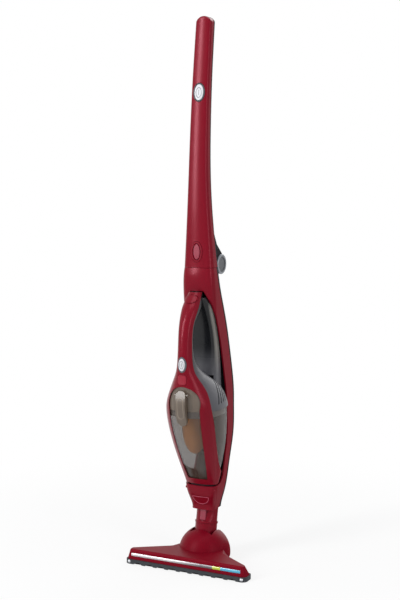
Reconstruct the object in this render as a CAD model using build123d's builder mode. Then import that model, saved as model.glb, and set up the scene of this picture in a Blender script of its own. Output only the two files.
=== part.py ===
# Cordless stick vacuum cleaner with a removable hand unit, standing upright.
# Millimetres, +Z up, front is -Y, the floor is z = 0 and the origin lies under the tilt axis.
import math
import os

from build123d import *

os.makedirs("parts", exist_ok=True)

RUN = 0.05           # radial clearance of a running pin
GAP = 0.4            # gap round buttons and other moving pieces
SEAT = 0.1           # gap of a piece seated in a recess


def keep(builder, label):
    builder.part.label = label
    export_step(builder.part, f"parts/{label}.step")


def outline(points):
    # Flat face inside straight lines through the points.
    with BuildSketch() as flat:
        with BuildLine():
            Polyline(*points, close=True)
        make_face()
    return flat.sketch


# Floor head: sizes
HEAD_TIP = 127       # half width at the rounded ends
HEAD_FRONT = -89     # front face of the red cover
SOLE_H = 9.5         # the base plate fills the head up to here
DECK_Z = 29          # top deck of the wings
DOME_R, DOME_Z = 51, 16
TILT_Z = 30          # height of the tilt axis
LEAN = 11            # the neck leans back by this angle at rest
TILT_RANGE = 65
BARREL_R, BARREL_HALF = 19, 22
NECK_R = 22.5
BRUSH_Y, BRUSH_Z = -73, 13
CORE_R, BRISTLE_R, SHAFT_R = 7.5, 11.5, 3
BRUSH_HALF = 100
MOTOR_Y, MOTOR_Z = -46, 15
BELT_X, BELT_W = 79, 5.5
PULLEY_R, GROOVE_R, BELT_GAP, BELT_T = 4.5, 6.5, 0.35, 1.2
WHEEL_R, WHEEL_W, WHEEL_X, WHEEL_Y = 7, 8, 32.5, 18
WHEEL_Z = WHEEL_R + 0.3
AXLE_R = 1.8
ROLLER_R, ROLLER_X, ROLLER_Y = 4.5, 119, -88.3
PIN_R = 4            # tilt pins
STRIP_Z, STRIP_H, STRIP_HALF = 18.5, 6, 116


def head_plan(shrink, front, round_tip):
    # Plan of the wings: straight front, rounded tips, rear edges swept back to the dome.
    x, y = 0.57 * shrink, 0.83 * shrink
    with BuildSketch() as plan:
        with BuildLine():
            Polyline((-HEAD_TIP + x, front), (HEAD_TIP - x, front), (HEAD_TIP - x, -66 - y),
                     (62 - x, -22 - y), (44 - x, 22 - y), (x - 44, 22 - y), (x - 62, -22 - y),
                     (x - HEAD_TIP, -66 - y), close=True)
        make_face()
        fillet([v for v in plan.vertices() if abs(v.X) > 90], round_tip)
        fillet([v for v in plan.vertices() if abs(v.X) < 70], 12)
    return plan.sketch


neck_plane = Plane(origin=(0, 0, TILT_Z), x_dir=(1, 0, 0),
                   z_dir=(0, math.sin(math.radians(LEAN)), math.cos(math.radians(LEAN))))


def along(angle, reach, side):
    # Point in the side view, reach along a neck leaning back by angle, side to its front.
    a = math.radians(angle)
    return (reach * math.sin(a) - side * math.cos(a), TILT_Z + reach * math.cos(a) + side * math.sin(a))


# Space swept by the neck as it tilts back, cut out of the dome
with BuildPart() as neck_sweep:
    with BuildSketch(Plane.YZ):
        low = LEAN + TILT_RANGE
        add(outline([along(LEAN, 0, NECK_R + 1), along(LEAN, 70, NECK_R + 1), (90, 100),
                     along(low, 90, -NECK_R - 1), along(low, 12, -NECK_R - 1)]))
    extrude(amount=NECK_R + 1.5, both=True)
    with Locations(Location((0, 0, TILT_Z), (0, 90, 0))):
        Cylinder(BARREL_R + 1, 2 * BARREL_HALF + 1)

# Red top cover of the floor head, with the dome over the tilt joint
with BuildPart() as head_cover:
    with BuildSketch(Plane.XY.offset(SOLE_H)):
        add(head_plan(0, HEAD_FRONT, 9))
    with BuildSketch(Plane.XY.offset(DECK_Z)):
        add(head_plan(12, HEAD_FRONT + 2.5, 4))
    loft()
    fillet(head_cover.faces().sort_by(Axis.Z)[-1].edges(), 3)
    with BuildSketch(Plane.XZ):
        with BuildLine():
            rim = math.sqrt(DOME_R ** 2 - (SOLE_H - DOME_Z) ** 2)
            ThreePointArc((rim, SOLE_H), (DOME_R * math.cos(0.7), DOME_Z + DOME_R * math.sin(0.7)),
                          (0, DOME_Z + DOME_R))
            Line((0, DOME_Z + DOME_R), (0, SOLE_H))
            Line((0, SOLE_H), (rim, SOLE_H))
        make_face()
    revolve(axis=Axis.Z)
    add(neck_sweep.part, mode=Mode.SUBTRACT)
    with Locations(Location((0, BRUSH_Y, BRUSH_Z), (0, 90, 0))):
        Cylinder(BRISTLE_R + 1.5, 2 * BRUSH_HALF + 12, mode=Mode.SUBTRACT)
    with Locations((0, -41, SOLE_H + 5)):
        Box(24, 54, 10, mode=Mode.SUBTRACT)
    with Locations(Location((35, MOTOR_Y, MOTOR_Z), (0, 90, 0))):
        Cylinder(10, 42, mode=Mode.SUBTRACT)
    with Locations(Location((62, MOTOR_Y, MOTOR_Z), (0, 90, 0))):
        Cylinder(3, 40, mode=Mode.SUBTRACT)
    with Locations((BELT_X, (BRUSH_Y + MOTOR_Y) / 2, MOTOR_Z)):
        Box(9, MOTOR_Y - BRUSH_Y + 13, 14, mode=Mode.SUBTRACT)
    for side in (-1, 1):
        with Locations((side * WHEEL_X, WHEEL_Y, SOLE_H + 3)):
            Box(WHEEL_W + 2, 2 * WHEEL_R + 4, 8, mode=Mode.SUBTRACT)
        with Locations(Location((side * 26, 0, TILT_Z), (0, 90, 0))):
            Cylinder(PIN_R, 18, mode=Mode.SUBTRACT)
    with Locations((0, HEAD_FRONT, STRIP_Z)):
        Box(2 * STRIP_HALF, 6, STRIP_H, mode=Mode.SUBTRACT)
keep(head_cover, "head_cover")

# Dark base plate with the suction mouth, glide ribs and wheel wells
with BuildPart() as head_base:
    with BuildSketch():
        add(head_plan(2, HEAD_FRONT + 2, 8))
        Circle(DOME_R - 2)
    extrude(amount=SOLE_H)
    with Locations((0, BRUSH_Y, SOLE_H / 2)):
        Box(2 * BRUSH_HALF + 12, 2 * BRISTLE_R + 2, SOLE_H, mode=Mode.SUBTRACT)
    with Locations((0, -36, SOLE_H - 2)):
        Box(24, 54, 4, mode=Mode.SUBTRACT)
    with Locations(Location((35, MOTOR_Y, MOTOR_Z), (0, 90, 0))):
        Cylinder(10, 42, mode=Mode.SUBTRACT)
    with Locations((BELT_X, -52, SOLE_H - 3)):
        Box(9, 24, 6, mode=Mode.SUBTRACT)
    for side in (-1, 1):
        with Locations((side * WHEEL_X, WHEEL_Y, SOLE_H / 2)):
            Box(WHEEL_W + 2, 2 * WHEEL_R + 4, SOLE_H, mode=Mode.SUBTRACT)
        with Locations(Location((side * WHEEL_X, WHEEL_Y, WHEEL_Z), (0, 90, 0))):
            Cylinder(AXLE_R + RUN, WHEEL_W + 9, mode=Mode.SUBTRACT)
        with Locations((side * ROLLER_X, ROLLER_Y, SOLE_H / 2)):
            Cylinder(ROLLER_R + 0.8, SOLE_H, mode=Mode.SUBTRACT)
        with GridLocations(8, 0, 5, 1):
            with Locations((side * 40, -16, 0)):
                Box(3, 20, 3, mode=Mode.SUBTRACT)
keep(head_base, "head_base")

# Rubber bumper round the front and the tips, with a row of soft teeth along its lower edge
TOOTH_PITCH, TOOTH_CUT = 25, 12
BUMPER_LOW, BUMPER_TOP = 0.8, SOLE_H - 0.2
with BuildPart() as front_bumper:
    with BuildSketch(Plane.XY.offset(BUMPER_LOW)):
        add(head_plan(-3, HEAD_FRONT - 3.5, 11))
        add(head_plan(2, HEAD_FRONT + 2, 8), mode=Mode.SUBTRACT)
        with Locations((0, -110)):
            Rectangle(300, 100, mode=Mode.INTERSECT)
    extrude(amount=BUMPER_TOP - BUMPER_LOW)
    with BuildSketch(Plane.XZ):
        with GridLocations(TOOTH_PITCH, 0, 9, 1):
            with Locations((0, BUMPER_LOW - 8)):
                Circle(TOOTH_CUT)
    extrude(amount=120, mode=Mode.SUBTRACT)
    for side in (-1, 1):
        with Locations((side * ROLLER_X, ROLLER_Y, 5.5)):
            Cylinder(ROLLER_R + 0.8, 6.2, mode=Mode.SUBTRACT)
        with Locations((side * ROLLER_X, ROLLER_Y, 5.2)):
            Cylinder(1.25 + RUN, 8, mode=Mode.SUBTRACT)
keep(front_bumper, "front_bumper")

# Trim along the front: a silver strip and two coloured inserts in one groove
for label, left, right in (("trim_strip", -STRIP_HALF + SEAT, 58), ("trim_lime", 58.2, 75),
                           ("trim_cyan", 75.2, STRIP_HALF - SEAT)):
    with BuildPart() as trim:
        with BuildSketch(Plane.YZ.offset(left)):
            with BuildLine():
                top, low, back = STRIP_Z + STRIP_H / 2 - SEAT, STRIP_Z - STRIP_H / 2 + SEAT, HEAD_FRONT + 3
                ThreePointArc((back - 1.4, top), (back - 2.6, STRIP_Z), (back - 1.8, low))
                Polyline((back - 1.8, low), (back, low), (back, top), (back - 1.4, top))
            make_face()
        extrude(amount=right - left)
    keep(trim, label)

# Brush roll on its two end bearings, turned by a belt from the small motor
with BuildPart() as brush_roll:
    with Locations(Location((0, BRUSH_Y, BRUSH_Z), (0, 90, 0))):
        Cylinder(CORE_R, 2 * BRUSH_HALF - 1)
        Cylinder(SHAFT_R, 2 * BRUSH_HALF + 10)
    with Locations(Location((BELT_X, BRUSH_Y, BRUSH_Z), (0, 90, 0))):
        Cylinder(CORE_R + 1, BELT_W + 1.5, mode=Mode.SUBTRACT)
        Cylinder(GROOVE_R, BELT_W + 1.5)
keep(brush_roll, "brush_roll")

STRIP_LEFT, STRIP_RIGHT, STRIP_STEPS = -98, 70, 6
with BuildPart() as brush_strips:
    for step in range(STRIP_STEPS + 1):
        x = STRIP_LEFT + (STRIP_RIGHT - STRIP_LEFT) * step / STRIP_STEPS
        with BuildSketch(Plane(origin=(x, BRUSH_Y, BRUSH_Z), x_dir=(0, 1, 0), z_dir=(1, 0, 0))):
            with PolarLocations(0, 4, start_angle=18 * step):
                with Locations((CORE_R + 1.75, 0)):
                    Rectangle(2 * (BRISTLE_R - CORE_R - 1.75), 3)
            Circle(CORE_R + 0.8)
    loft()
    with Locations(Location(((STRIP_LEFT + STRIP_RIGHT) / 2, BRUSH_Y, BRUSH_Z), (0, 90, 0))):
        Cylinder(CORE_R, 300, mode=Mode.SUBTRACT)
keep(brush_strips, "brush_strips")

for label, side in (("bearing_left", -1), ("bearing_right", 1)):
    with BuildPart() as bearing:
        with Locations(Location((side * (BRUSH_HALF + 3.5), BRUSH_Y, BRUSH_Z), (0, 90, 0))):
            Cylinder(BRISTLE_R + 0.6, 5)
            Cylinder(SHAFT_R + RUN, 5, mode=Mode.SUBTRACT)
    keep(bearing, label)

with BuildPart() as head_motor:
    with Locations(Location((35, MOTOR_Y, MOTOR_Z), (0, 90, 0))):
        Cylinder(9.6, 40)
        Cylinder(1.5 + RUN, 42, mode=Mode.SUBTRACT)
    chamfer(head_motor.edges().filter_by(GeomType.CIRCLE).group_by(SortBy.RADIUS)[-1], 1.5)
keep(head_motor, "head_motor")

with BuildPart() as motor_pulley:
    with Locations(Location((61.5, MOTOR_Y, MOTOR_Z), (0, 90, 0))):
        Cylinder(1.5, 43)
    with Locations(Location((BELT_X, MOTOR_Y, MOTOR_Z), (0, 90, 0))):
        Cylinder(PULLEY_R, BELT_W + 1)
keep(motor_pulley, "motor_pulley")


def belt_loop(extra):
    # Band shape round the two pulleys, in the side view.
    with BuildSketch() as band:
        with Locations((BRUSH_Y, BRUSH_Z)):
            Circle(GROOVE_R + extra)
        with Locations((MOTOR_Y, MOTOR_Z)):
            Circle(PULLEY_R + extra)
        make_hull()
    return band.sketch


with BuildPart() as drive_belt:
    with BuildSketch(Plane.YZ.offset(BELT_X - BELT_W / 2)):
        add(belt_loop(BELT_GAP + BELT_T))
        add(belt_loop(BELT_GAP), mode=Mode.SUBTRACT)
    extrude(amount=BELT_W)
keep(drive_belt, "drive_belt")

# Rear wheels with stub axles, and the little upright rollers at the front corners
for label, side in (("wheel_left", -1), ("wheel_right", 1)):
    with BuildPart() as wheel:
        with Locations(Location((side * WHEEL_X, WHEEL_Y, WHEEL_Z), (0, 90, 0))):
            Cylinder(WHEEL_R, WHEEL_W)
            Cylinder(AXLE_R, WHEEL_W + 8)
        fillet(wheel.edges().filter_by(GeomType.CIRCLE).group_by(SortBy.RADIUS)[-1], 1.5)
    keep(wheel, label)

for label, side in (("roller_left", -1), ("roller_right", 1)):
    with BuildPart() as roller:
        with Locations((side * ROLLER_X, ROLLER_Y, 5.5)):
            Cylinder(ROLLER_R, 5.4)
        fillet(roller.edges(), 1.2)
        with Locations((side * ROLLER_X, ROLLER_Y, 5.2)):
            Cylinder(1.25, 7.6)
    keep(roller, label)

for label, side in (("tilt_pin_left", -1), ("tilt_pin_right", 1)):
    with BuildPart() as tilt_pin:
        with Locations(Location((side * 26, 0, TILT_Z), (0, 90, 0))):
            Cylinder(PIN_R, 18)
    keep(tilt_pin, label)

# Tilt knuckle: a barrel on the two pins with a hollow stub that carries the neck
STUB_TOP = 42.5
DUCT_R = 11.5
with BuildPart() as tilt_knuckle:
    with Locations(Location((0, 0, TILT_Z), (0, 90, 0))):
        Cylinder(BARREL_R, 2 * BARREL_HALF)
    with BuildSketch(neck_plane.offset(6)):
        Circle(BARREL_R - 1)
    with BuildSketch(neck_plane.offset(24)):
        Circle(NECK_R - 1)
    loft()
    with BuildSketch(neck_plane.offset(24)):
        Circle(NECK_R - 1)
    extrude(amount=STUB_TOP - 24)
    with BuildSketch(neck_plane):
        Circle(DUCT_R)
    extrude(amount=STUB_TOP, mode=Mode.SUBTRACT)
    with Locations(Location((0, -15, TILT_Z - 4), (90, 0, 0))):
        Cylinder(9, 30, mode=Mode.SUBTRACT)
    with Locations(Location((0, 0, TILT_Z), (0, 90, 0))):
        for side in (-1, 1):
            with Locations((0, 0, side * 19.5)):
                Cylinder(PIN_R + RUN, 6, mode=Mode.SUBTRACT)
keep(tilt_knuckle, "tilt_knuckle")

# Neck: swivels on the knuckle, carries the whole stick, has a release button at the front
COLLAR_LOW = 103.5
NECK_DEEP = 17
NECK_PRESS_LEN = 21  # length of the release button
with BuildPart() as neck_tube:
    with BuildSketch(neck_plane.offset(STUB_TOP + 0.5)):
        Circle(NECK_R)
    extrude(amount=3.5)
    with BuildSketch(neck_plane.offset(STUB_TOP + 4)):
        Circle(NECK_R - 1.5)
    with BuildSketch(neck_plane.offset(STUB_TOP + 16)):
        Ellipse(NECK_R - 1, NECK_DEEP)
    with BuildSketch(neck_plane.offset(92)):
        Ellipse(NECK_R, NECK_DEEP)
    loft()
    with Locations((0, 0, COLLAR_LOW + 50)):
        Box(100, 200, 100, mode=Mode.SUBTRACT)
    with BuildSketch(neck_plane.offset(60)):
        Circle(DUCT_R + 2.5)
    extrude(amount=25)
    with Locations((0, 0, COLLAR_LOW + 8.5 + 50)):
        Box(100, 200, 100, mode=Mode.SUBTRACT)
    with BuildSketch(neck_plane.offset(STUB_TOP)):
        Circle(DUCT_R)
    extrude(amount=60, mode=Mode.SUBTRACT)
    with BuildSketch(neck_plane.offset(48)):
        with Locations((0, -NECK_DEEP)):
            Rectangle(12 + 2 * GAP, 10)
    extrude(amount=NECK_PRESS_LEN + 2 * GAP, mode=Mode.SUBTRACT)
keep(neck_tube, "neck_tube")

with BuildPart() as neck_button:
    with BuildSketch(neck_plane.offset(48 + GAP)):
        with Locations((0, -NECK_DEEP - 0.2)):
            Rectangle(12, 5)
    extrude(amount=NECK_PRESS_LEN)
    fillet(neck_button.faces().sort_by(Axis.Y)[0].edges(), 1.2)
    with BuildSketch(neck_plane.offset(56)):
        with Locations((0, -NECK_DEEP - 2.7)):
            Rectangle(20, 1.6)
    extrude(amount=1.2, mode=Mode.SUBTRACT)
keep(neck_button, "neck_button")


def stick_section(front, rear, half, inset):
    # Cross-section of the stick: slightly crowned front, rounded corners, narrower flat back.
    a, f, r = half - inset, front + inset, rear - inset
    sag = 0.13 * half
    with BuildSketch() as section:
        with BuildLine():
            ThreePointArc((-a, f + sag), (0, f), (a, f + sag))
            Polyline((a, f + sag), (0.93 * a, r), (-0.93 * a, r), (-a, f + sag))
        make_face()
        round_front = min(0.38 * half, 0.36 * (rear - front)) - 0.8 * inset
        fillet(section.vertices().group_by(Axis.Y)[0], round_front)
        fillet(section.vertices().group_by(Axis.Y)[-1], 0.75 * round_front)
    return section.sketch


def side_region(curve, *corners):
    # Region in the side view: a smooth curve through (y, z) points, closed through the corners.
    with BuildSketch() as region:
        with BuildLine():
            Spline(*curve)
            Polyline(curve[-1], *corners, curve[0])
        make_face()
    return region.sketch


# Stick below the fold: stations are height, front, rear and half width
SEAM_Z = 580
STICK_WALL = 3
STICK = [(COLLAR_LOW, -13, 31.5, 24.5), (130, -20, 36, 30), (155, -26, 42, 34), (200, -14, 60, 33),
         (237, 0, 73, 33), (277, 8, 79, 32.5), (318, 8, 78.5, 32.5), (366, 0, 71.5, 32.5),
         (412, -12, 58.5, 33), (460, -25, 43, 33.5), (508, -33, 23, 34), (537, -36, 11, 34),
         (SEAM_Z - 0.5, -36, 3, 31)]
BACK_DEPTH = 13      # depth of the black back cover
with BuildPart() as stick_outer:
    for z, front, rear, half in STICK:
        with BuildSketch(Plane.XY.offset(z)):
            add(stick_section(front, rear, half, 0))
    loft()
with BuildPart() as stick_inner:
    for z, front, rear, half in STICK:
        with BuildSketch(Plane.XY.offset(z)):
            add(stick_section(front, rear, half, STICK_WALL))
    loft()
    with Locations((0, 0, 330)):
        Box(200, 300, 436, mode=Mode.INTERSECT)
with BuildPart() as stick_shell:
    add(stick_outer.part)
    add(stick_inner.part, mode=Mode.SUBTRACT)
with BuildPart() as back_zone:
    with BuildSketch(Plane.YZ):
        back_edge = [(rear - BACK_DEPTH, z) for z, front, rear, half in STICK]
        add(side_region(back_edge, (120, SEAM_Z), (120, COLLAR_LOW)))
    extrude(amount=60, both=True)

RIM_Z = 153.5        # front rim of the collar
RAIL = [(-38, 538), (-27, 508), (-5, 460), (12, 412), (25, 366), (36, 318), (38, 277), (36, 237),
        (27, 200), (15, 170), (2, 157)]
# Hand unit: stations are height, front, rear, place of the widest point, half width.
# The lower bulb holds the dust cup, the middle the motor, the thin upper part is the grip.
HAND = [(158, -27, 16, -12, 32.5), (205, -54, 28, -16, 43.5), (250, -76.5, 33, -22, 51.5),
        (290, -91.5, 34, -30, 55), (320, -97, 31, -34, 54.5), (346, -98, 20, -38, 45.5),
        (370, -97.5, -14, -53, 32), (396, -98.3, -52, -73, 18.5), (430, -97.8, -66.5, -81.5, 14),
        (475, -91.5, -62, -77, 14.2), (508, -74, -34, -54, 17.5), (534.5, -50, -26, -38, 13)]
# Back plate behind the finger pocket: stations are height, front, rear, half width.
BACK = [(330, -6, 28, 28), (380, -13, 24, 27.4), (430, -14, 13, 28.4), (470, -25, 3, 28.8),
        (505, -40, -9, 27), (524, -48, -18, 20)]
TIP_ROOM = 1         # room that the hand unit has when it tips out of the cradle
CRADLE_Y, CRADLE_Z, CRADLE_R = -17, 147, 2.2
with BuildPart() as collar_prism:
    with BuildSketch(Plane.XZ):
        with Locations((0, 132.5)):
            Circle(19)
            with Locations((0, 20)):
                Rectangle(60, 40, mode=Mode.SUBTRACT)
    extrude(amount=60)
with BuildPart() as cradle_way:
    with BuildSketch(Plane.XZ.offset(-60)):
        edge = [(half + TIP_ROOM, z) for z, front, rear, half in BACK]
        edge.append((HAND[-1][4] + TIP_ROOM, HAND[-1][0] + TIP_ROOM))
        add(outline(edge + [(-x, z) for x, z in reversed(edge)]))
    extrude(amount=180)
    with BuildSketch(Plane.YZ):
        behind = [(rear + TIP_ROOM, z) for z, front, rear, half in BACK]
        behind.append((HAND[-1][2] + TIP_ROOM, HAND[-1][0] + TIP_ROOM))
        add(side_region(behind, (-120, behind[-1][1]), (-120, behind[0][1])))
    extrude(amount=60, both=True, mode=Mode.INTERSECT)
with BuildPart() as lower_body:
    add(stick_shell.part)
    add(back_zone.part, mode=Mode.SUBTRACT)
    add(cradle_way.part, mode=Mode.SUBTRACT)
    with BuildSketch(Plane.YZ):
        add(side_region(RAIL, (-30, RIM_Z), (-120, RIM_Z), (-120, 540), (-60, 540)))
    extrude(amount=60, both=True, mode=Mode.SUBTRACT)
    with BuildSketch(neck_plane.offset(60)):
        Circle(DUCT_R + 2.5 + SEAT)
    extrude(amount=40, mode=Mode.SUBTRACT)
    with Locations(Location((0, CRADLE_Y, CRADLE_Z), (0, 90, 0))):
        Cylinder(CRADLE_R, 64, mode=Mode.SUBTRACT)
    with BuildSketch(Plane.XZ):
        with Locations((0, 132.5)):
            Circle(19 + GAP)
            with Locations((0, 20 + GAP)):
                Rectangle(60, 40, mode=Mode.SUBTRACT)
    extrude(amount=60, mode=Mode.SUBTRACT)
keep(lower_body, "lower_body")

with BuildPart() as collar_button:
    add(stick_shell.part)
    add(collar_prism.part, mode=Mode.INTERSECT)
keep(collar_button, "collar_button")

with BuildPart() as cradle_pin:
    with Locations(Location((0, CRADLE_Y, CRADLE_Z), (0, 90, 0))):
        Cylinder(CRADLE_R, 64)
keep(cradle_pin, "cradle_pin")

# Fold hinge behind the seam: the knuckle is part of the back cover, the ears belong to the handle
FOLD_Y, FOLD_Z, FOLD_R, FOLD_PIN = 27, 583, 19, 3.5
KNUCKLE_HALF, EAR_OUT = 11, 22
with BuildPart() as back_cover:
    add(stick_shell.part)
    add(back_zone.part, mode=Mode.INTERSECT)
    with BuildSketch(Plane.YZ):
        with Locations((FOLD_Y, FOLD_Z)):
            Circle(FOLD_R)
        add(outline([(0, 552), (0, SEAM_Z - 0.5), (12, SEAM_Z - 0.5), (FOLD_Y, FOLD_Z),
                     (FOLD_Y + 17, FOLD_Z - 8.5), (16, 540), (8, 536)]))
    extrude(amount=KNUCKLE_HALF, both=True)
    with Locations(Location((0, FOLD_Y, FOLD_Z), (0, 90, 0))):
        Cylinder(FOLD_PIN, 60, mode=Mode.SUBTRACT)
    with BuildSketch(neck_plane.offset(60)):
        Circle(DUCT_R + 2.5 + SEAT)
    extrude(amount=40, mode=Mode.SUBTRACT)
keep(back_cover, "back_cover")

with BuildPart() as fold_pin:
    with Locations(Location((0, FOLD_Y, FOLD_Z), (0, 90, 0))):
        Cylinder(FOLD_PIN, 2 * EAR_OUT)
keep(fold_pin, "fold_pin")

# Folding handle: red front shell, black rear shell with the hinge ears
HANDLE = [(SEAM_Z + 0.1, -36, 3, 31), (632, -36, -4, 27.5), (692, -36.5, -8, 23.5),
          (760, -35.5, -9.5, 20.5), (830, -32, -7, 19), (912, -25, -1, 18), (968, -18.5, 5, 17.5), (1008, -13.5, 10.5, 17),
          (1050, -8, 16, 16.5)]
HANDLE_BACK = 8
TOP_Z = 1050
SWITCH_Z, SWITCH_Y, SWITCH_TILT = 908, -25.3, 6.6
RELEASE_Z, RELEASE_Y = 610, -36
with BuildPart() as handle_outer:
    for z, front, rear, half in HANDLE:
        with BuildSketch(Plane.XY.offset(z)):
            add(stick_section(front, rear, half, 0))
    loft()
    with BuildSketch(Plane.XZ.offset(-60)):
        with Locations((0, 780)):
            Rectangle(80, 2 * (TOP_Z - 780) - 34)
        with Locations((0, 600)):
            Rectangle(80, 60)
        with Locations((0, TOP_Z - 17)):
            Circle(17)
    extrude(amount=120, mode=Mode.INTERSECT)
    fillet(handle_outer.edges().filter_by(lambda e: e.center().Z > TOP_Z - 16.5), 4)
with BuildPart() as handle_back_zone:
    with BuildSketch(Plane.YZ):
        seam = [(rear - HANDLE_BACK, z) for z, front, rear, half in HANDLE]
        add(side_region(seam, (90, 1060), (90, 570)))
    extrude(amount=60, both=True)
switch_plane = Plane(origin=(0, SWITCH_Y, SWITCH_Z), x_dir=(1, 0, 0),
                     z_dir=(0, -math.cos(math.radians(SWITCH_TILT)), math.sin(math.radians(SWITCH_TILT))))
release_plane = Plane(origin=(0, RELEASE_Y, RELEASE_Z), x_dir=(1, 0, 0), z_dir=(0, -1, 0))
SWITCH_A, SWITCH_B = 9.2, 15
BUTTON_A, BUTTON_B = 6.8, 14.5
RING = 3             # width of the switch's ring
RELEASE_RING = 5.5   # width of the release button's ring
RING_DEEP = 4
with BuildPart() as handle_front:
    add(handle_outer.part)
    add(handle_back_zone.part, mode=Mode.SUBTRACT)
    ovals = ((switch_plane, SWITCH_A, SWITCH_B, RING), (release_plane, BUTTON_A, BUTTON_B, RELEASE_RING))
    for plane, a, b, ring in ovals:
        with BuildSketch(plane.offset(6)):
            Ellipse(a + ring, b + ring)
        extrude(amount=-6 - RING_DEEP, mode=Mode.SUBTRACT)
        with BuildSketch(plane):
            Ellipse(a + GAP, b + GAP)
        extrude(amount=-9, mode=Mode.SUBTRACT)
keep(handle_front, "handle_front")

with BuildPart() as handle_rear:
    add(handle_outer.part)
    add(handle_back_zone.part, mode=Mode.INTERSECT)
    with BuildSketch(Plane.YZ):
        with Locations((FOLD_Y, FOLD_Z)):
            Circle(FOLD_R)
        add(outline([(-2, SEAM_Z + 0.1), (FOLD_Y, FOLD_Z), (FOLD_Y + 8, FOLD_Z + 17), (8, 622), (-8, 650)]))
    extrude(amount=EAR_OUT, both=True)
    add(handle_front.part, mode=Mode.SUBTRACT)
    with Locations(Location((0, FOLD_Y, FOLD_Z), (0, 90, 0))):
        Cylinder(FOLD_R + 1, 2 * KNUCKLE_HALF + 0.8, mode=Mode.SUBTRACT)
        Cylinder(FOLD_PIN + RUN, 60, mode=Mode.SUBTRACT)
    with Locations((0, FOLD_Y + 21.5, FOLD_Z)):
        Box(2 * KNUCKLE_HALF + 0.8, 60, 64, mode=Mode.SUBTRACT)
keep(handle_rear, "handle_rear")

for label, side in (("hinge_cap_left", -1), ("hinge_cap_right", 1)):
    with BuildPart() as hinge_cap:
        with Locations(Location((side * (EAR_OUT + 1.3), FOLD_Y, FOLD_Z), (0, 90, 0))):
            Cylinder(FOLD_R + 0.5, 2.6)
        outer = hinge_cap.faces().filter_by(Axis.X).sort_by(Axis.X)[-1 if side > 0 else 0]
        chamfer(outer.edges(), 1.2)
        with Locations(Location((side * (EAR_OUT + 2.6), FOLD_Y, FOLD_Z), (0, 90, 0))):
            Cylinder(FOLD_R - 6, 1.6, mode=Mode.SUBTRACT)
    keep(hinge_cap, label)

for bezel_label, button_label, plane, a, b, ring, proud in (
        ("switch_bezel", "power_switch", switch_plane, SWITCH_A, SWITCH_B, RING, 1.2),
        ("handle_bezel", "handle_button", release_plane, BUTTON_A, BUTTON_B, RELEASE_RING, 0.6)):
    with BuildPart() as bezel:
        with BuildSketch(plane.offset(-RING_DEEP)):
            Ellipse(a + ring - SEAT, b + ring - SEAT)
            Ellipse(a + GAP, b + GAP, mode=Mode.SUBTRACT)
        with BuildSketch(plane.offset(0.4)):
            Ellipse(a + ring - SEAT - 0.6, b + ring - SEAT - 0.6)
            Ellipse(a + GAP + 1.2, b + GAP + 1.2, mode=Mode.SUBTRACT)
        loft()
    keep(bezel, bezel_label)
    with BuildPart() as button:
        with BuildSketch(plane.offset(-6.5)):
            Ellipse(a, b)
        extrude(amount=6.5 + proud)
        fillet(button.faces().sort_by(Axis.Y)[0].edges(), 1.1)
    keep(button, button_label)


def round_section(front, rear, wide, half, inset):
    # Rounded cross-section of the hand unit; wide is where it is widest, front to back.
    half, front, rear = half - inset, front + inset, rear - inset
    with BuildSketch() as section:
        with BuildLine():
            for side, end in ((1, rear), (-1, rear), (-1, front), (1, front)):
                away = 1 if end > wide else -1
                Spline((side * half, wide), (0.737 * side * half, wide + 0.737 * (end - wide)), (0, end),
                       tangents=((0, away), (-side, 0)))
        make_face()
    return section.sketch


SKIN = 2.5           # red cover
CUP_Z = 313          # seam between the dust cup and the motor part
HAND_RIBS = 24       # sections lofted through, closer together towards both ends


def between(stations, z):
    # Station values at any height, on a cubic that takes its slopes from the neighbouring stations
    k = max(i for i in range(len(stations) - 1) if stations[i][0] <= z)
    low, high = stations[k], stations[k + 1]
    before, after = stations[max(k - 1, 0)], stations[min(k + 2, len(stations) - 1)]
    step = high[0] - low[0]
    t = (z - low[0]) / step
    values = []
    for a, b, c, d in list(zip(before, low, high, after))[1:]:
        slope_b = (c - a) / (high[0] - before[0]) * step
        slope_c = (d - b) / (after[0] - low[0]) * step
        values.append((1 + 2 * t) * (1 - t) ** 2 * b + t * (1 - t) ** 2 * slope_b
                      + t * t * (3 - 2 * t) * c - t * t * (1 - t) * slope_c)
    return values


def hand_body_of(inset):
    foot, top = HAND[0][0], HAND[-1][0]
    with BuildPart() as body:
        for rib in range(HAND_RIBS + 1):
            z = foot + (top - foot) * (1 - math.cos(math.pi * rib / HAND_RIBS)) / 2
            with BuildSketch(Plane.XY.offset(z)):
                add(round_section(*between(HAND, z), inset))
        loft()
    return body.part


def slab(low, high):
    with BuildPart() as body:
        with Locations((0, 0, (low + high) / 2)):
            Box(300, 300, high - low)
    return body.part


hand_shape = hand_body_of(0)
hand_in = hand_body_of(SKIN)
hand_seat = hand_body_of(SKIN + SEAT)
hand_deep = hand_body_of(2 * SKIN)
hand_core = hand_body_of(2 * SKIN + 2 * SEAT)
hand_proud = hand_body_of(-0.8)
hand_lens = hand_body_of(-2.2)

# Side view of the red zone: everything in front of this curve
RED_EDGE = [(-36, 536), (-66, 500), (-79, 470), (-82, 440), (-84, 408), (-82, 384), (-77, 370), (-71, 352),
            (-70, 325), (-60, 285), (-49, 254), (-35, 222), (-18, 195), (6, 178), (30, 172)]
with BuildPart() as red_zone:
    with BuildSketch(Plane.YZ):
        add(side_region(RED_EDGE, (30, 150), (-140, 150), (-140, 560), (-36, 560)))
    extrude(amount=80, both=True)


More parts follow.
